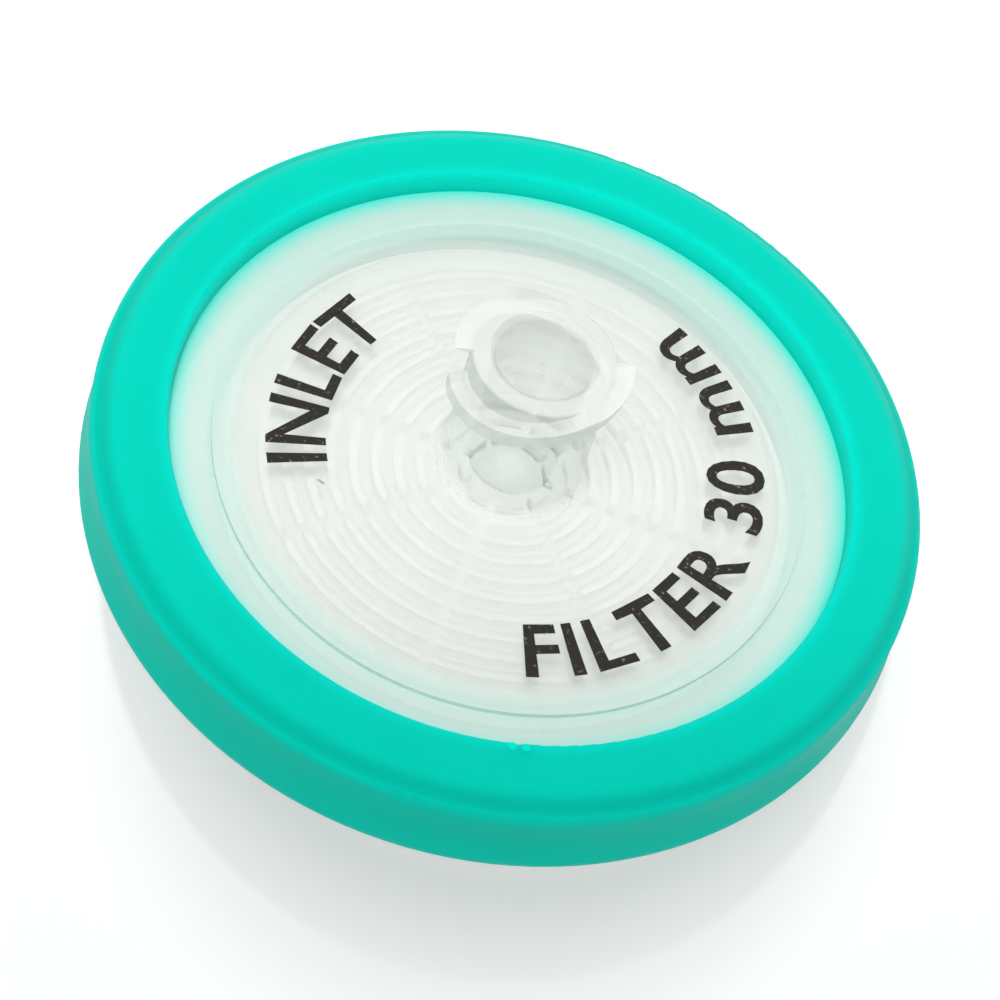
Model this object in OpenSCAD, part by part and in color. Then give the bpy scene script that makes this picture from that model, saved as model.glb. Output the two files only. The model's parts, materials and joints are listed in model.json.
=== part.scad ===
// Syringe filter: a round membrane filter with a female luer lock inlet and a male luer slip
// outlet. Two clear shells clamp the membrane, and a soft coloured ring is moulded round them.
// It is drawn as it lies on a table: on the outlet's tip and the ring's lower edge, inlet up.

/* [Face] */
// Radius of the raised disc in the middle of each face
face_r = 13.3; // [12:0.1:17]
// Width of the lower step between the raised disc and the ring
step_w = 1.95; // [1.2:0.05:3]
// Height of the raised disc above the step
step_h = 0.25; // [0.1:0.05:0.4]
// Thickness of each shell over the filter chamber
plate_t = 0.9; // [0.7:0.05:1.2]

/* [Filter chamber] */
// Width of the band that clamps the membrane's edge
clamp_w = 0.65; // [0.4:0.05:1]
// Gap between the membrane's edge and its seat
membrane_gap = 0.1; // [0.05:0.01:0.2]
// Thickness of the membrane
membrane_t = 0.15; // [0.1:0.01:0.3]
// Radius of the open chamber over the membrane
chamber_r = 12.35; // [10:0.05:12.5]
// Gap between the inlet ridges and the membrane
ridge_gap = 0.25; // [0.1:0.05:0.4]
// Depth of the drain channels under the membrane
drain_d = 0.6; // [0.4:0.05:0.9]
// Distance from one concentric ridge to the next
ridge_pitch = 1.0; // [0.8:0.05:2]
// Width of each concentric ridge
ridge_w = 0.45; // [0.3:0.05:0.6]
// Number of radial channels through the ridges
channel_n = 8; // [4:1:12]
// Width of each radial channel
channel_w = 0.4; // [0.3:0.05:1]
// Radius of the open well under each port
well_r = 1.7; // [1.2:0.1:2.5]

/* [Flanges and ring] */
// Thickness of the inlet shell's flange
flange_t = 1.5; // [1.3:0.05:2]
// How far the flanges reach into the ring
flange_grip = 1.25; // [0.8:0.05:1.6]
// Width of the ring at its upper edge
ring_w = 3.35; // [3:0.05:5]
// How much further out the lower half of the ring stands
ring_skirt = 0.15; // [0:0.05:0.4]
// Radius of the ring's lower outer edge
ring_edge_r = 1.0; // [0.6:0.05:1.2]
// Radius at which the ring's top rolls down to its shoulder
shoulder_r = 1.0; // [0.7:0.05:1.1]
// Radius of the shallow hollow in the shoulder
hollow_r = 0.8; // [0.5:0.05:1]
// Radius from the shoulder to the ring's outer wall
ledge_r = 0.4; // [0.3:0.05:0.5]
// Depth of the shallow waist in the ring's outer wall
ring_waist = 0.06; // [0:0.01:0.2]
// Radius of the ring's inner edges
ring_lip_r = 0.25; // [0.1:0.05:0.4]
// Height of the ring above the inlet shell's step
lip_up = 1.25; // [0.9:0.05:1.8]
// Fall of the ring's top towards its inner edge
crown = 0.05; // [0:0.01:0.15]
// Height of the ring below the outlet shell's step
lip_down = 0.85; // [0.6:0.05:1.5]
// Radius of the moulding gate's mark on the ring's inner edge
gate_r = 0.4; // [0.2:0.05:0.6]
// Depth of that mark
gate_d = 0.15; // [0.05:0.01:0.2]

/* [Luer inlet] */
// Height of the inlet above the face
hub_h = 7.3; // [6:0.1:9]
// Outer radius of the inlet
hub_r = 3.15; // [2.9:0.05:3.4]
// Radius of the fillet at the inlet's foot
hub_fillet = 0.6; // [0.2:0.05:1]
// Radius of the edge round the inlet's rim
rim_edge_r = 0.12; // [0.05:0.01:0.2]
// Radius of the tapered socket at its mouth
socket_r = 2.15; // [2.1:0.01:2.2]
// Width of the chamfer at the socket's mouth
socket_chamfer = 0.18; // [0.05:0.01:0.3]
// Depth of the tapered socket
socket_d = 7.5; // [6:0.1:7.8]
// Radius of the port from the socket to the chamber
port_r = 0.8; // [0.5:0.05:1.1]
// Radius over the two lugs
lug_r = 3.9; // [3.6:0.05:4]
// Height of each lug along the axis
lug_t = 0.75; // [0.4:0.05:0.9]
// Rise of each lug from its middle to its upper end
lug_rise = 1.15; // [0.6:0.01:1.2]
// Depth of the lugs' middle below the rim
lug_drop = 0.8; // [0.7:0.01:1.2]
// Gap between the end of one lug and the start of the other, in degrees
lug_gap = 2; // [1:1:30]

/* [Luer outlet] */
// Radius of the outlet at its tip
tip_r = 1.98; // [1.95:0.01:2.05]
// Length of the tapered outlet
nozzle_l = 10; // [8:0.1:12]
// Radius of the edge round the tip
tip_edge_r = 0.3; // [0.1:0.05:0.5]
// Radius of the bore through the outlet
outlet_bore_r = 1.0; // [0.6:0.05:1.3]
// Radius of the collar that the outlet stands on
collar_r = 3.1; // [2.7:0.05:4]
// Height of that collar
collar_h = 2.1; // [1:0.1:4]

/* [Hidden] */
$fn = 96;

LUER_TAPER = 0.03;       // change of radius per millimetre of a 6 % luer cone
LUG_TURN = 20;           // angle at which one lug starts
LUG_LEAN = 3;            // angle from a lug's start to the low side of its slope
CHANNEL_TURN = -3;       // angle of the first radial channel
GATE_TURN = 286;         // angle of the gate mark
HOLLOW_SLOPE = 50;       // slope where the ring's top runs into the shoulder's hollow
LEDGE_SLOPE = 18;        // slope where the hollow runs out again
HOLLOW_STEP = 4;         // change of slope from one point of the hollow to the next
CUT = 1;                 // how far a cutting shape runs past a face

shell_clear = [0.86, 0.93, 0.91, 0.55];
membrane_white = [0.96, 0.96, 0.94];
ring_teal = [0.00, 0.80, 0.70];

// Radii of what lies round the chamber
membrane_r = chamber_r + clamp_w;
seat_r = membrane_r + membrane_gap;
ring_in_r = face_r + step_w;
flange_r = ring_in_r + flange_grip;
ring_top_r = ring_in_r + ring_w;
ring_low_r = ring_top_r + ring_skirt;

// Heights, measured along the filter's axis from the inlet face
step_z = -step_h;
split_z = step_z - flange_t;
seat_z = split_z - membrane_t;
drain_z = seat_z - drain_d;
outlet_face_z = drain_z - plate_t;
outlet_step_z = outlet_face_z + step_h;
ring_top_z = step_z + lip_up;
ring_low_z = outlet_step_z - lip_down;
collar_z = outlet_face_z - collar_h;
tip_z = collar_z - nozzle_l;

// The outward normal of a face that falls outwards by this slope, in the plane of the axis
function slope_normal(slope) = [sin(slope), cos(slope)];

// Centres of the ring's lower edge and of the tip's edge, in the plane of the axis
edge_low = [ring_low_r - ring_edge_r, ring_low_z + ring_edge_r];
edge_tip = [tip_r - tip_edge_r, tip_z + tip_edge_r];

// Centres of the shoulder's three arcs, which run into each other: top edge, hollow and ledge
to_hollow = (shoulder_r + hollow_r) * slope_normal(HOLLOW_SLOPE);
to_ledge = (ledge_r + hollow_r) * slope_normal(LEDGE_SLOPE);
edge_top = [ring_top_r - ledge_r + to_ledge.x - to_hollow.x, ring_top_z - shoulder_r];
hollow = edge_top + to_hollow;
ledge = hollow - to_ledge;

// Lean of the axis when the ring's lower edge and the tip both touch the table
span = edge_low - edge_tip;
lean = atan2(span.y, span.x) - asin((ring_edge_r - tip_edge_r) / norm(span));
lift = edge_low.x * sin(lean) - edge_low.y * cos(lean) + ring_edge_r;

// Middle of the leaning ring from front to back
back_y = ledge.x * cos(lean) + ledge.y * sin(lean) + ledge_r;
front_y = -edge_low.x * cos(lean) + edge_low.y * sin(lean) - ring_edge_r;
middle_y = (back_y + front_y) / 2;

// Lays the upright filter on the table, with the middle of its outline over the origin
module at_rest() {
    translate([0, -middle_y, lift]) rotate([-lean, 0, 0]) children();
}

// A ring of rectangular section
module band(r_in, r_out, z_low, z_high) {
    rotate_extrude() translate([r_in, z_low]) square([r_out - r_in, z_high - z_low]);
}

// The solid round the axis that a radius and two heights give
module disc(r, z_low, z_high) {
    translate([0, 0, z_low]) cylinder(r = r, h = z_high - z_low);
}

// Concentric ridges from z_low to z_high, parted by the radial channels
module ridges(z_low, z_high) {
    difference() {
        for (r = [well_r : ridge_pitch : chamber_r - ridge_pitch])
            band(r, r + ridge_w, z_low, z_high);
        for (i = [0 : channel_n - 1])
            rotate(CHANNEL_TURN + i * 360 / channel_n)
                translate([well_r - CUT, -channel_w / 2, z_low - CUT])
                    cube([chamber_r, channel_w, z_high - z_low + 2 * CUT]);
    }
}

// Quarter-round fillet where a post of radius r stands on a face at height z
module fillet(r, size, z) {
    rotate_extrude()
        difference() {
            translate([r, z]) square(size);
            translate([r + size, z + size]) circle(size);
        }
}

// The half turn that one lug takes up, as a half plane of height h
module half_turn(h) {
    intersection() {
        translate([-2 * lug_r, 0, 0]) cube([4 * lug_r, 2 * lug_r, h]);
        rotate(-lug_gap) translate([-2 * lug_r, 0, 0]) cube([4 * lug_r, 2 * lug_r, h]);
    }
}

// One lug: a half turn of a slab that slopes up round the inlet and ends level with the rim
module lug() {
    intersection() {
        band(hub_r - socket_chamfer, lug_r, 0, hub_h);
        rotate(LUG_TURN) half_turn(hub_h);
        rotate(LUG_TURN + LUG_LEAN)
            translate([0, 0, hub_h - lug_drop])
                rotate([0, atan2(lug_rise, lug_r), 0])
                    translate([-2 * lug_r, -2 * lug_r, -lug_t / 2])
                        cube([4 * lug_r, 4 * lug_r, lug_t]);
    }
}

// Outer shape of the inlet's post, with a rounded rim
module hub_post() {
    rotate_extrude() {
        square([hub_r, hub_h - rim_edge_r]);
        square([hub_r - rim_edge_r, hub_h]);
        translate([hub_r - rim_edge_r, hub_h - rim_edge_r]) circle(rim_edge_r);
    }
}

// Tapered socket with its chamfered mouth
module socket() {
    translate([0, 0, hub_h - socket_d])
        cylinder(r1 = socket_r - LUER_TAPER * socket_d, r2 = socket_r, h = socket_d);
    translate([0, 0, hub_h - socket_chamfer])
        cylinder(r1 = socket_r - LUER_TAPER * socket_chamfer, r2 = socket_r + socket_chamfer,
                 h = socket_chamfer);
}

module inlet_shell() {
    at_rest() color(shell_clear) {
        difference() {
            union() {
                disc(face_r, split_z, 0);
                disc(flange_r, split_z, step_z);
                hub_post();
                fillet(hub_r, hub_fillet, 0);
                lug();
                rotate(180) lug();
            }
            disc(chamber_r, split_z - CUT, -plate_t);
            disc(port_r, -plate_t - CUT, hub_h - socket_d + CUT);
            socket();
        }
        ridges(split_z + ridge_gap, -plate_t);
    }
}

module membrane() {
    at_rest() color(membrane_white) disc(membrane_r, seat_z, split_z);
}

// The outlet: a collar and a tapered nozzle with a rounded tip
module outlet_post() {
    base_r = tip_r + LUER_TAPER * nozzle_l;
    disc(collar_r, collar_z, outlet_face_z);
    rotate_extrude() {
        polygon([[0, tip_z], [edge_tip.x, tip_z], [tip_r, edge_tip.y], [base_r, collar_z],
                 [0, collar_z]]);
        translate(edge_tip) circle(tip_edge_r);
    }
}

module outlet_shell() {
    at_rest() color(shell_clear)
        difference() {
            union() {
                disc(face_r, outlet_face_z, seat_z);
                band(seat_r, flange_r, outlet_step_z, split_z);
                disc(flange_r, outlet_step_z, seat_z);
                outlet_post();
            }
            difference() {
                disc(chamber_r, drain_z, seat_z + CUT);
                ridges(drain_z - CUT, seat_z);
            }
            disc(outlet_bore_r, tip_z - CUT, seat_z + CUT);
        }
}

// Half section of the ring before the flanges are cut out of it
module ring_section() {
    lip_top = [ring_in_r + ring_lip_r, ring_top_z - crown];
    lip_low = [ring_in_r + ring_lip_r, ring_low_z];
    polygon([
        [ring_in_r, lip_low.y + ring_lip_r],
        lip_low,
        [edge_low.x, ring_low_z],
        [ring_low_r, edge_low.y],
        [ring_top_r - ring_waist, (edge_low.y + ledge.y) / 2],
        [ring_top_r, ledge.y],
        each [for (slope = [LEDGE_SLOPE : HOLLOW_STEP : HOLLOW_SLOPE])
            hollow - hollow_r * slope_normal(slope)],
        [edge_top.x, ring_top_z],
        lip_top,
        [ring_in_r, lip_top.y - ring_lip_r]
    ]);
    translate(edge_top) circle(shoulder_r);
    translate(edge_low) circle(ring_edge_r);
    translate(ledge) circle(ledge_r);
    translate(lip_top - [0, ring_lip_r]) circle(ring_lip_r);
    translate(lip_low + [0, ring_lip_r]) circle(ring_lip_r);
}

module outer_ring() {
    at_rest() color(ring_teal)
        difference() {
            rotate_extrude() ring_section();
            disc(flange_r, outlet_step_z, step_z);
            rotate(GATE_TURN)
                translate([ring_in_r + gate_d - gate_r, 0, step_z])
                    cylinder(r = gate_r, h = lip_up + CUT);
        }
}

inlet_shell();
membrane();
outlet_shell();
outer_ring();
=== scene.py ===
import json
import math

import bmesh
import bpy
from mathutils import Matrix, Vector


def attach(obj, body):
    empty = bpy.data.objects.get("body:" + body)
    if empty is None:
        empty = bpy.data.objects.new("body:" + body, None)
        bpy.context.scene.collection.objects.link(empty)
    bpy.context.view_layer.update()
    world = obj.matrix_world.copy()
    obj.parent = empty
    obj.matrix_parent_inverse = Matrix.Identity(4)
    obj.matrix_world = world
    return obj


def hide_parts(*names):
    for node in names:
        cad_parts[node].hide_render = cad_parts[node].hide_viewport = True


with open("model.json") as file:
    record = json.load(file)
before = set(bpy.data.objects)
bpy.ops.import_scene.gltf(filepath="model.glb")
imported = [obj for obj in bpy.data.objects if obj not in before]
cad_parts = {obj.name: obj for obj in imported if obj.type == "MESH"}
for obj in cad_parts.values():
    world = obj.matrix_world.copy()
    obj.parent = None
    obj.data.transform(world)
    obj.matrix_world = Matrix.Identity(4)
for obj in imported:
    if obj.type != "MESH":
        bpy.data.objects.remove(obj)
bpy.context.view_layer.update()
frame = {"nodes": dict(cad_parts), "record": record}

# A syringe filter that lies on a table on its outlet's tip and its ring's edge, with the inlet up.
# Pieces are modelled in the filter's own frame, in millimetres: its origin is the middle of the
# inlet face, Z is the filter's axis and angles run round it from X. laid() then sets them down.
MM = 0.001
NEAR = 0.01                 # how far off a place may be and still count as on it
CORNER = math.radians(30)   # edges that turn more than this stay sharp

HUB_H = 7.3                 # height of the inlet's rim over the face
HUB_R = 3.15                # radius of the inlet's wall under its lugs
HUB_FOOT = 0.15             # height at which the inlet's wall takes over from the face
LUG_FOOT = 5                # height at which the lugs start
BORE_EDGE = 2.4             # a radius between the inlet's bore and its wall
VALLEY = -0.9               # height of the plate's underside between its ridges
FLANGE_R = 16.5             # radius of both shells' flanges, inside the ring's groove
GROOVE_TOP = -0.25          # height of the groove's upper wall
GROOVE_FOOT = -3.15         # height of its lower wall
PRESS = 0.03                # how far the ring's groove and the membrane bite into the shells
CHAMBER_R = 12.35           # radius of the open chamber round the membrane
FACE_R = 13.3               # radius of the raised disc in the middle of each face
WINDOW_R = 15.25            # radius at which the ring starts
CREASE_SHADE_R = (17.6, 18.05, 18.3, 18.5)  # radii over which painted shade darkens the ring's crease and clears

RATING_TEXT = "FILTER 30 mm"
RATING_FEET_R = 11.4        # radius of the line that the rating stands on, with its feet outwards
RATING_SPAN = (-71, 63)     # angles at which the rating starts and ends
FLOW_TEXT = "INLET"
FLOW_FEET_R = 8.35          # radius of the line that the flow mark stands on, with its feet inwards
FLOW_SPAN = (206, 149)      # angles at which the flow mark starts and ends
CAP_H = 2.6                 # height of a capital letter
INK_T = 0.012               # thickness of the print

GATE_TURN = 286             # angle at which the ring was gated, at its inner edge
BURR_TURNS = (-0.6, 1.6)    # angles of the two burrs from there
BURR_R = WINDOW_R + 0.28    # radius of the burrs
BURR_SIZE = (0.2, 0.22, 0.1)
LIP_TOP = 0.95              # height of the ring's top at its inner edge
SPECK_R = 8.8               # radius of the one grey speck in the face
SPECK_TURN = 213            # angle of the speck
SPECK_LIE = 131             # angle at which the speck lies
SPECK_SIZE = (0.2, 0.075, 0.012)

FACE_VEIL = 0.5             # how much of the frosted face hides what lies under it
HUB_VEIL = 0.5              # the same for the inlet's wall
RIM_VEIL = 0.6              # the same for the inlet's rim
INNER_VEIL = 0.15           # the same for the faces round the chamber
VALLEY_VEIL = 0.4           # the same between the ridges over the membrane
SHADOW_SHARE = 0.1          # the part of a veil that holds back light too, since frost mostly scatters it
EDGE_SHADOW_SHARE = 0.6     # the same outside the chamber
BORE_SHARE = 0.5            # the part of the wall's veil that its bore has
UNDER_HUB_SHARE = 0.1       # the part of a face's veil that it has under the inlet
CHAMBER_EDGE_SHARE = 1.4    # the same at the chamber's edge
RIM_EDGE_SHARE = 1.6        # the same outside the raised disc
VALLEY_PAINTED_SHADE = 0.76         # painted shade between the ridges: how bright the plastic is painted there, beside the face
HUB_PAINTED_LIGHT = 1.18            # painted light on the inlet's wall: the same there, brighter for light that passes through it
LUG_PAINTED_SHADE = 0.94            # painted shade on its top with the lugs: the same there
RIM_PAINTED_LIGHT = 1.02            # painted light on the flat rim: the same there

FLOOR_LIFT = 0.25           # how much whiter the table looks than its light alone makes it
ROOM_LIGHT = 0.43           # how bright the white room is
KEY_PLACE = Vector((-0.045, 0.155, 0.535))  # where both lamps hang, in metres
KEY_SIZE = 0.26             # width of the key lamp, in metres
KEY_POWER = 1.3
POOL_TURN = 105             # angle of the soft pool of light on the ring's far side
POOL_R = 30                 # radius of the pool's middle
POOL_WIDE = 0.096           # width of the pool, in metres
POOL_POWER = 3
LENS = 126                  # the camera's focal length
SENSOR = 36                 # width of its sensor
CAMERA_FAR = 154.08         # how far the camera is from what it looks at
CAMERA_RISE = 88.27         # angle over the table from which it looks
CAMERA_TURN = 19.48         # angle round the upright by which it is turned
CAMERA_SHIFT = (0.53, 1.94) # how far left of the face's middle and below it the camera looks


def mount(name):
    """Where a mount of the record lies, and its axis."""
    found = next(m for m in frame["record"]["mounts"] if m["name"] == name)
    return Vector(found["pos_m"]), Vector(found["axis"]).normalized()


RIM, AXIS = mount("inlet_luer")
FACE = RIM - AXIS * HUB_H * MM
SIDE = Vector((1, 0, 0))
AHEAD = AXIS.cross(SIDE)
LAID = Matrix.Translation(FACE) @ Matrix((SIDE, AHEAD, AXIS)).transposed().to_4x4() @ Matrix.Scale(MM, 4)


# ---------------------------------------------------------------- pieces

def laid(mesh, name, material):
    """A finished piece from a mesh in the filter's own frame, riding on the one body."""
    mesh.transform(LAID)
    piece = bpy.data.objects.new(name, mesh)
    bpy.context.scene.collection.objects.link(piece)
    mesh.materials.clear()
    mesh.materials.append(material)
    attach(piece, "root")
    return piece


def loosened(node):
    """A merged copy of a CAD node's mesh as a bmesh, in the filter's own frame."""
    shape = bmesh.new()
    shape.from_mesh(frame["nodes"][node].data)
    bmesh.ops.transform(shape, matrix=LAID.inverted(), verts=shape.verts)
    bmesh.ops.remove_doubles(shape, verts=shape.verts, dist=0.0005)
    return shape


def closed(shape, name):
    """A finished mesh from a bmesh, smooth but for its corners, and without the copied mesh's normals."""
    bmesh.ops.recalc_face_normals(shape, faces=shape.faces)
    for face in shape.faces:
        face.smooth = True
    mesh = bpy.data.meshes.new(name)
    shape.to_mesh(mesh)
    shape.free()
    if "custom_normal" in mesh.attributes:
        mesh.attributes.remove(mesh.attributes["custom_normal"])
    mesh.set_sharp_from_angle(angle=CORNER)
    return mesh


def add_ring(material):
    """The moulded ring, whose groove bites a little into the flanges that it was moulded round."""
    shape = loosened("outer_ring")
    for v in shape.verts:
        r = math.hypot(v.co.x, v.co.y)
        if r < FLANGE_R + NEAR:
            if abs(v.co.z - GROOVE_TOP) < NEAR:
                v.co.z -= PRESS
            if abs(v.co.z - GROOVE_FOOT) < NEAR:
                v.co.z += PRESS
        if abs(r - FLANGE_R) < NEAR and GROOVE_FOOT - NEAR < v.co.z < GROOVE_TOP + NEAR:
            v.co.x *= 1 - PRESS / r
            v.co.y *= 1 - PRESS / r
    ring = laid(closed(shape, "ring"), "moulded_ring", material)
    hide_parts("outer_ring")


def add_membrane(material):
    """The membrane, pinched into both shells at its edge."""
    shape = loosened("membrane")
    middle = sum(v.co.z for v in shape.verts) / len(shape.verts)
    for v in shape.verts:
        v.co.z += math.copysign(PRESS, v.co.z - middle)
    disc = laid(closed(shape, "disc"), "membrane_disc", material)
    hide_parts("membrane")


def flat_text(text):
    """A line of bold lettering as a thin flat mesh that stands on X."""
    curve = bpy.data.curves.new("lettering", "FONT")
    curve.body = text
    curve.size = 1
    curve.offset = 0.017
    curve.extrude = INK_T / 2
    curve.resolution_u = 4
    curve.space_character = 1.04
    holder = bpy.data.objects.new("lettering", curve)
    bpy.context.scene.collection.objects.link(holder)
    bpy.context.view_layer.update()
    mesh = bpy.data.meshes.new_from_object(holder)
    bpy.data.objects.remove(holder)
    return mesh


def printed_arc(text, feet_r, span, feet_out):
    """Lettering bent round the axis, with its feet outwards or inwards."""
    mesh = flat_text(text)
    low = min(v.co.x for v in mesh.vertices)
    wide = max(v.co.x for v in mesh.vertices) - low
    cap = max(v.co.y for v in mesh.vertices)
    start, end = (math.radians(a) for a in span)
    for v in mesh.vertices:
        turn = start + (end - start) * (v.co.x - low) / wide
        up = CAP_H * v.co.y / cap
        r = feet_r - up if feet_out else feet_r + up
        v.co = (r * math.cos(turn), r * math.sin(turn), v.co.z + INK_T / 2)
    return mesh


def add_gate_burrs(material):
    """Two tiny burrs on the ring's inner edge, left where the plastic ran into the mould."""
    shape = bmesh.new()
    for turn in BURR_TURNS:
        made = bmesh.ops.create_icosphere(shape, subdivisions=3, radius=1)
        spin = Matrix.Rotation(math.radians(GATE_TURN + turn), 4, "Z")
        place = Matrix.Translation((BURR_R, 0, LIP_TOP)) @ Matrix.Diagonal((*BURR_SIZE, 1))
        bmesh.ops.transform(shape, matrix=spin @ place, verts=made["verts"])
    laid(closed(shape, "burrs"), "gate_burrs", material)


def add_speck(material):
    """One grey speck of dirt, moulded into the face."""
    shape = bmesh.new()
    bmesh.ops.create_icosphere(shape, subdivisions=3, radius=1)
    place = Matrix.Rotation(math.radians(SPECK_TURN), 4, "Z") @ Matrix.Translation((SPECK_R, 0, 0))
    lie = Matrix.Rotation(math.radians(SPECK_LIE), 4, "Z") @ Matrix.Diagonal((*SPECK_SIZE, 1))
    bmesh.ops.transform(shape, matrix=place @ lie, verts=shape.verts)
    laid(closed(shape, "speck"), "speck", material)


def add_print(ink):
    """The rating and the flow mark, printed on the face."""
    laid(printed_arc(RATING_TEXT, RATING_FEET_R, RATING_SPAN, True), "print_rating", ink)
    laid(printed_arc(FLOW_TEXT, FLOW_FEET_R, FLOW_SPAN, False), "print_flow", ink)


# ---------------------------------------------------------------- materials

def new_material(name):
    """A material with nodes, its Principled shader and its node tree."""
    material = bpy.data.materials.new(name)
    material.use_nodes = True
    return material, material.node_tree.nodes["Principled BSDF"], material.node_tree


def add_node(tree, kind, **settings):
    """A new node with some of its own settings changed."""
    node = tree.nodes.new(kind)
    for name, value in settings.items():
        setattr(node, name, value)
    return node


def filter_space(tree):
    """A socket that gives a point in the filter's own frame, in millimetres."""
    where = add_node(tree, "ShaderNodeTexCoord")
    turn = add_node(tree, "ShaderNodeMapping", vector_type="TEXTURE")
    turn.inputs["Location"].default_value = FACE
    turn.inputs["Rotation"].default_value = LAID.to_euler()
    turn.inputs["Scale"].default_value = (MM, MM, MM)
    tree.links.new(where.outputs["Object"], turn.inputs["Vector"])
    return turn.outputs["Vector"]


def radius_of(tree, point):
    """A socket that gives a point's distance from the filter's axis."""
    flat = add_node(tree, "ShaderNodeVectorMath", operation="MULTIPLY")
    flat.inputs[1].default_value = (1, 1, 0)
    far = add_node(tree, "ShaderNodeVectorMath", operation="LENGTH")
    tree.links.new(point, flat.inputs[0])
    tree.links.new(flat.outputs["Vector"], far.inputs[0])
    return far.outputs["Value"]


def height_of(tree, point):
    """A socket that gives a point's height over the inlet face."""
    parts = add_node(tree, "ShaderNodeSeparateXYZ")
    tree.links.new(point, parts.inputs["Vector"])
    return parts.outputs["Z"]


def ramp(tree, value, low, high, stops):
    """A colour ramp over value, from low to high, with stops in the value's own units."""
    spread = add_node(tree, "ShaderNodeMapRange")
    spread.inputs["From Min"].default_value = low
    spread.inputs["From Max"].default_value = high
    tree.links.new(value, spread.inputs["Value"])
    node = add_node(tree, "ShaderNodeValToRGB")
    tree.links.new(spread.outputs["Result"], node.inputs["Fac"])
    spots = node.color_ramp.elements
    while len(spots) < len(stops):
        spots.new(0.5)
    for spot, (place, colour) in zip(spots, stops):
        spot.position = (place - low) / (high - low)
        spot.color = (*colour, 1)
    return node.outputs["Color"]


def noise(tree, point, scale, detail):
    """Soft noise about one half, with scale blots to the millimetre."""
    node = add_node(tree, "ShaderNodeTexNoise")
    node.inputs["Scale"].default_value = scale
    node.inputs["Detail"].default_value = detail
    tree.links.new(point, node.inputs["Vector"])
    return node.outputs["Fac"]


def maths(tree, operation, a, b, clamp=False):
    """One Math node, each of whose inputs is a socket or a number."""
    node = add_node(tree, "ShaderNodeMath", operation=operation, use_clamp=clamp)
    for socket, value in zip(node.inputs, (a, b)):
        if isinstance(value, (int, float)):
            socket.default_value = value
        else:
            tree.links.new(value, socket)
    return node.outputs["Value"]


def grey_ramp(tree, value, low, high, stops):
    """A smooth number over value, from stops of a place and a number up to 2."""
    grey = ramp(tree, value, low, high, [(place, (level / 2,) * 3) for place, level in stops])
    return maths(tree, "MULTIPLY", grey, 2)


def bumped(tree, shader, height, depth):
    """Puts a bump of some depth in millimetres on a shader."""
    bump = add_node(tree, "ShaderNodeBump")
    bump.inputs["Distance"].default_value = depth * MM
    tree.links.new(height, bump.inputs["Height"])
    tree.links.new(bump.outputs["Normal"], shader.inputs["Normal"])


def moulded_skin():
    """The skin of moulded plastic: faint flow mottling, fine grain and a few hairline scuffs."""
    group = bpy.data.node_groups.new("moulded_skin", "ShaderNodeTree")
    takes = {"Point": "Vector", "Colour": "Color", "Mottle": "Float", "Roughness": "Float"}
    for name, kind in takes.items():
        group.interface.new_socket(name, in_out="INPUT", socket_type="NodeSocket" + kind)
    puts_out = {"Colour": "Color", "Roughness": "Float", "Height": "Float"}
    for name, kind in puts_out.items():
        group.interface.new_socket(name, in_out="OUTPUT", socket_type="NodeSocket" + kind)
    given = add_node(group, "NodeGroupInput")
    gives = add_node(group, "NodeGroupOutput")
    point = given.outputs["Point"]

    flow = maths(group, "SUBTRACT", noise(group, point, 0.35, 3), 0.5)
    bright = maths(group, "ADD", maths(group, "MULTIPLY", flow, given.outputs["Mottle"]), 1)
    tint = add_node(group, "ShaderNodeVectorMath", operation="SCALE")
    group.links.new(given.outputs["Colour"], tint.inputs["Vector"])
    group.links.new(bright, tint.inputs["Scale"])
    group.links.new(tint.outputs["Vector"], gives.inputs["Colour"])

    drawn = add_node(group, "ShaderNodeMapping")
    drawn.inputs["Rotation"].default_value = (0, 0, 0.6)
    drawn.inputs["Scale"].default_value = (0.25, 6, 1)
    group.links.new(point, drawn.inputs["Vector"])
    scuffs = add_node(group, "ShaderNodeMapRange")
    scuffs.inputs["From Min"].default_value = 0.68
    scuffs.inputs["From Max"].default_value = 0.8
    group.links.new(noise(group, drawn.outputs["Vector"], 1, 2), scuffs.inputs["Value"])
    scuff = scuffs.outputs["Result"]

    grain = noise(group, point, 9, 2)
    rough = maths(group, "ADD", maths(group, "MULTIPLY", flow, 0.25), given.outputs["Roughness"])
    rough = maths(group, "ADD", maths(group, "MULTIPLY", scuff, 0.12), rough, clamp=True)
    group.links.new(rough, gives.inputs["Roughness"])
    height = maths(group, "SUBTRACT", maths(group, "MULTIPLY", grain, 0.5), scuff)
    group.links.new(height, gives.inputs["Height"])
    return group


def skin_on(tree, shader, group, point, mottle, rough, depth):
    """Puts the moulded skin on a shader, and gives the socket that its colour comes in by."""
    skin = add_node(tree, "ShaderNodeGroup", node_tree=group)
    skin.inputs["Mottle"].default_value = mottle
    skin.inputs["Roughness"].default_value = rough
    tree.links.new(point, skin.inputs["Point"])
    tree.links.new(skin.outputs["Colour"], shader.inputs["Base Color"])
    tree.links.new(skin.outputs["Roughness"], shader.inputs["Roughness"])
    bumped(tree, shader, skin.outputs["Height"], depth)
    return skin.inputs["Colour"]


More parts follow.
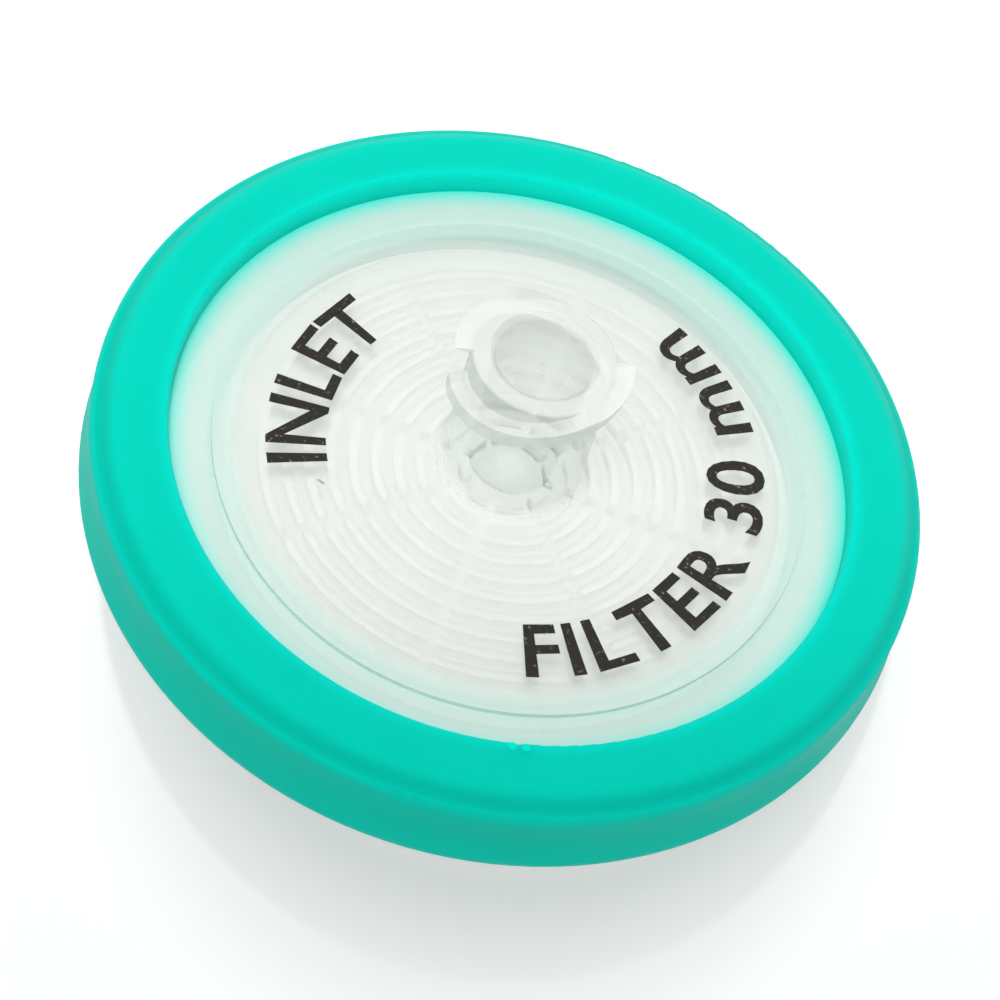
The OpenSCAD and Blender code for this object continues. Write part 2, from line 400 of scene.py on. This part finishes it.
def teal_plastic(group, name, soak, lift):
    """Satin teal plastic that light soaks into, painted brighter by lift, with a painted glow at its inner
    edge by the clear flanges and painted shade in its crease.
    """
    material, shader, tree = new_material(name)
    point = filter_space(tree)
    # bright is a painted glow at the ring's inner edge, standing in for light that comes through the clear
    # flanges
    bright, teal = (0.0, 0.76 * lift, 0.61 * lift), (0.0, 0.665 * lift, 0.52 * lift)
    # painted shade darkening the ring's crease
    crease_shade = tuple(0.88 * part for part in teal)
    tint = ramp(tree, radius_of(tree, point), 14, 19, [
        (WINDOW_R + 0.01, bright), (WINDOW_R + 0.6, teal), *zip(CREASE_SHADE_R, (teal, crease_shade, crease_shade, teal))])
    tree.links.new(tint, skin_on(tree, shader, group, point, 0.06, 0.5, 0.003))
    shader.inputs["Specular IOR Level"].default_value = 0.06
    shader.inputs["Subsurface Weight"].default_value = soak
    shader.inputs["Subsurface Radius"].default_value = (0.1, 1.0, 0.8)
    shader.inputs["Subsurface Scale"].default_value = 0.002
    return material


def housing_tint_and_glow(tree, radius):
    """Milky white inside the chamber, then a painted teal glow from the ring: painted mint round the
    chamber, and the ring's own colour painted in where it would show through the edge.
    """
    # painted teal glow from the ring, scattered and seen through in the clear plastic round the chamber and
    # at its edge
    white, painted_milky_glow, painted_mint_glow, painted_pale_glow = (0.86, 0.885, 0.85), (0.76, 0.9, 0.84), (0.69, 0.88, 0.81), (0.74, 0.9, 0.84)
    return ramp(tree, radius, 0, 20, [
        (CHAMBER_R - 0.6, white), (CHAMBER_R, painted_milky_glow), (CHAMBER_R + 0.5, painted_mint_glow), (FACE_R, painted_mint_glow),
        (FACE_R + 0.3, painted_pale_glow), (WINDOW_R - 1.1, painted_pale_glow), (WINDOW_R - 0.7, (0.6, 0.92, 0.85)),
        (WINDOW_R - 0.3, (0.34, 0.93, 0.84)), (WINDOW_R, (0.08, 0.93, 0.8))])


def housing_painted_light_and_shade(tree, height):
    """Painted light and shade at each height, beside the face: painted shade between the ridges and on the
    lugs, painted light on the inlet's wall and rim.
    """
    return grey_ramp(tree, height, -5, 10, [
        (VALLEY - 0.4, 1), (VALLEY - 0.1, VALLEY_PAINTED_SHADE), (VALLEY + 0.1, VALLEY_PAINTED_SHADE), (VALLEY + 0.3, 1),
        (HUB_FOOT + 0.05, 1), (HUB_FOOT + 0.45, HUB_PAINTED_LIGHT), (LUG_FOOT - 0.5, HUB_PAINTED_LIGHT),
        (LUG_FOOT, LUG_PAINTED_SHADE), (HUB_H - 0.3, LUG_PAINTED_SHADE), (HUB_H - 0.1, RIM_PAINTED_LIGHT)])


def housing_veil(tree, radius, height):
    """How much the frosted skin hides what lies under it."""
    faces = grey_ramp(tree, height, -5, 10, [
        (GROOVE_FOOT - 0.05, FACE_VEIL), (GROOVE_FOOT + 0.05, INNER_VEIL), (VALLEY - 0.4, INNER_VEIL),
        (VALLEY - 0.1, VALLEY_VEIL), (VALLEY + 0.1, VALLEY_VEIL), (VALLEY + 0.3, INNER_VEIL),
        (GROOVE_TOP - 0.2, INNER_VEIL), (GROOVE_TOP - 0.05, FACE_VEIL), (HUB_FOOT, FACE_VEIL),
        (HUB_FOOT + 0.15, INNER_VEIL)])
    edge = grey_ramp(tree, radius, 0, 20, [
        (HUB_R, UNDER_HUB_SHARE), (HUB_R + 0.4, 1), (CHAMBER_R - 0.1, 1),
        (CHAMBER_R + 0.2, CHAMBER_EDGE_SHARE), (FACE_R + 0.1, RIM_EDGE_SHARE)])
    inlet = grey_ramp(tree, height, -5, 10, [
        (HUB_FOOT, 0), (HUB_FOOT + 0.15, HUB_VEIL), (HUB_H - 0.2, HUB_VEIL), (HUB_H, RIM_VEIL)])
    wall = grey_ramp(tree, radius, 0, 20, [(BORE_EDGE - 0.05, BORE_SHARE), (BORE_EDGE + 0.05, 1)])
    face_veil = maths(tree, "MULTIPLY", faces, edge)
    inlet_veil = maths(tree, "MULTIPLY", inlet, wall)
    return maths(tree, "MAXIMUM", face_veil, inlet_veil, clamp=True)


def frosted_plastic(group):
    """Clear plastic with a frosted skin, milky in the thick inlet, with painted light and shade by height
    and a painted teal glow near the ring.
    """
    material, shader, tree = new_material("frosted_housing")
    point = filter_space(tree)
    radius, height = radius_of(tree, point), height_of(tree, point)
    # painted light and shade by height, scaling the tint
    shade = add_node(tree, "ShaderNodeVectorMath", operation="SCALE")
    tree.links.new(housing_tint_and_glow(tree, radius), shade.inputs["Vector"])
    tree.links.new(housing_painted_light_and_shade(tree, height), shade.inputs["Scale"])
    tree.links.new(shade.outputs["Vector"], skin_on(tree, shader, group, point, 0.03, 0.3, 0.001))
    veil = housing_veil(tree, radius, height)
    path = add_node(tree, "ShaderNodeLightPath")
    let_by = grey_ramp(tree, radius, 0, 20, [
        (CHAMBER_R, 1 - SHADOW_SHARE), (FACE_R, 1 - EDGE_SHADOW_SHARE)])
    passed = maths(tree, "SUBTRACT", 1, maths(tree, "MULTIPLY", path.outputs["Is Shadow Ray"], let_by))
    tree.links.new(maths(tree, "MULTIPLY", veil, passed), shader.inputs["Alpha"])
    shader.inputs["IOR"].default_value = 1.49
    shader.inputs["Specular IOR Level"].default_value = 0.4
    return material


def white_membrane():
    """Matt white membrane with a fine uneven weave of pores."""
    material, shader, tree = new_material("white_membrane")
    point = filter_space(tree)
    pores = noise(tree, point, 5, 4)
    cloud = noise(tree, point, 0.4, 2)
    tint = ramp(tree, maths(tree, "ADD", pores, cloud), 0, 2, [
        (0.7, (0.84, 0.86, 0.83)), (1.3, (0.92, 0.935, 0.91))])
    tree.links.new(tint, shader.inputs["Base Color"])
    rough = maths(tree, "ADD", maths(tree, "MULTIPLY", pores, 0.2), 0.7)
    tree.links.new(rough, shader.inputs["Roughness"])
    bumped(tree, shader, pores, 0.01)
    return material


def black_ink():
    """Pad-printed ink, nearly black, thin and grey in small flecks."""
    material, shader, tree = new_material("black_ink")
    point = filter_space(tree)
    flecks = noise(tree, point, 4.5, 2)
    tint = ramp(tree, flecks, 0, 1, [
        (0.55, (0.018, 0.016, 0.014)), (0.64, (0.035, 0.03, 0.026)), (0.72, (0.22, 0.20, 0.18))])
    tree.links.new(tint, shader.inputs["Base Color"])
    rough = maths(tree, "ADD", maths(tree, "MULTIPLY", flecks, 0.4), 0.25)
    tree.links.new(rough, shader.inputs["Roughness"])
    bumped(tree, shader, flecks, 0.004)
    return material


def grey_dirt():
    """Grey dirt in the frosted skin, uneven."""
    material, shader, tree = new_material("grey_dirt")
    blots = noise(tree, filter_space(tree), 12, 2)
    tint = ramp(tree, blots, 0, 1, [(0.35, (0.36, 0.38, 0.36)), (0.65, (0.5, 0.52, 0.5))])
    tree.links.new(tint, shader.inputs["Base Color"])
    rough = maths(tree, "ADD", maths(tree, "MULTIPLY", blots, 0.3), 0.5)
    tree.links.new(rough, shader.inputs["Roughness"])
    return material


def dress(node, material):
    """Gives a CAD node's object one material."""
    slots = frame["nodes"][node].data.materials
    slots.clear()
    slots.append(material)


# ---------------------------------------------------------------- stage

def seen(tree):
    """One for a ray from the camera, a gloss or clear plastic, and nothing for a ray of light."""
    path = add_node(tree, "ShaderNodeLightPath")
    total = path.outputs["Is Camera Ray"]
    for kind in ("Is Glossy Ray", "Is Transmission Ray"):
        total = maths(tree, "ADD", total, path.outputs[kind], clamp=True)
    return total


def add_floor():
    """A plain white table that looks a little whiter than its light alone makes it."""
    mesh = bpy.data.meshes.new("table")
    shape = bmesh.new()
    bmesh.ops.create_grid(shape, x_segments=1, y_segments=1, size=1.5)
    shape.to_mesh(mesh)
    shape.free()
    floor = bpy.data.objects.new("table", mesh)
    bpy.context.scene.collection.objects.link(floor)
    material, shader, tree = new_material("white_table")
    shader.inputs["Base Color"].default_value = (0.95, 0.95, 0.95, 1)
    shader.inputs["Roughness"].default_value = 0.9
    shader.inputs["Specular IOR Level"].default_value = 0.0
    shader.inputs["Emission Color"].default_value = (1, 1, 1, 1)
    lift = maths(tree, "MULTIPLY", seen(tree), FLOOR_LIFT)
    tree.links.new(lift, shader.inputs["Emission Strength"])
    mesh.materials.append(material)


def add_world():
    """An even white room."""
    world = bpy.data.worlds.new("studio")
    world.use_nodes = True
    back = world.node_tree.nodes["Background"]
    back.inputs["Color"].default_value = (1, 1, 1, 1)
    back.inputs["Strength"].default_value = ROOM_LIGHT
    bpy.context.scene.world = world


def hung(name, data, place, aim):
    """Hangs a lamp up, aimed at a point and not seen as a gloss."""
    lamp = bpy.data.objects.new(name, data)
    lamp.location = place
    lamp.rotation_euler = (aim - place).to_track_quat("-Z", "Y").to_euler()
    lamp.visible_glossy = False
    bpy.context.scene.collection.objects.link(lamp)


def add_key():
    """A large soft lamp over the table."""
    data = bpy.data.lights.new("key", "AREA")
    data.shape = "DISK"
    data.size = KEY_SIZE
    data.energy = KEY_POWER
    hung("key", data, KEY_PLACE, Vector((0, 0, 0)))


def add_pool():
    """A spot from the key's place, whose soft pool of light lies on the ring's far side."""
    turn = math.radians(POOL_TURN)
    aim = FACE + POOL_R * MM * (SIDE * math.cos(turn) + AHEAD * math.sin(turn))
    data = bpy.data.lights.new("far_side", "SPOT")
    data.energy = POOL_POWER
    data.shadow_soft_size = 0.008
    data.spot_size = 2 * math.atan(POOL_WIDE / 2 / (aim - KEY_PLACE).length)
    data.spot_blend = 0.5
    hung("far_side", data, KEY_PLACE, aim)


def add_camera():
    """Looks down on the filter, nearly upright over it and turned round it."""
    data = bpy.data.cameras.new("camera")
    data.lens = LENS
    data.sensor_width = SENSOR
    data.clip_start = 0.01
    camera = bpy.data.objects.new("camera", data)
    rise, turn = math.radians(CAMERA_RISE), math.radians(CAMERA_TURN)
    back = Vector((math.sin(turn) * math.cos(rise), -math.cos(turn) * math.cos(rise), math.sin(rise)))
    right = Vector((math.cos(turn), math.sin(turn), 0))
    up = back.cross(right)
    left, below = CAMERA_SHIFT
    focus = FACE - (left * right + below * up) * MM
    turned = Matrix((right, up, back)).transposed().to_4x4()
    camera.matrix_world = Matrix.Translation(focus + back * CAMERA_FAR * MM) @ turned
    bpy.context.scene.collection.objects.link(camera)
    bpy.context.scene.camera = camera


def main():
    """Builds the stage, then dresses the shells and adds the other pieces."""
    bpy.context.scene.view_settings.view_transform = "Standard"
    add_camera()
    add_floor()
    add_world()
    add_key()
    add_pool()
    skin = moulded_skin()
    housing = frosted_plastic(skin)
    dress("inlet_shell", housing)
    dress("outlet_shell", housing)
    add_membrane(white_membrane())
    add_ring(teal_plastic(skin, "teal_overmould", 0.6, 1))
    # the burrs take a lighter copy of the teal, painted 1.22 times brighter as a painted highlight
    add_gate_burrs(teal_plastic(skin, "teal_burrs", 0, 1.22))
    add_print(black_ink())
    add_speck(grey_dirt())


main()
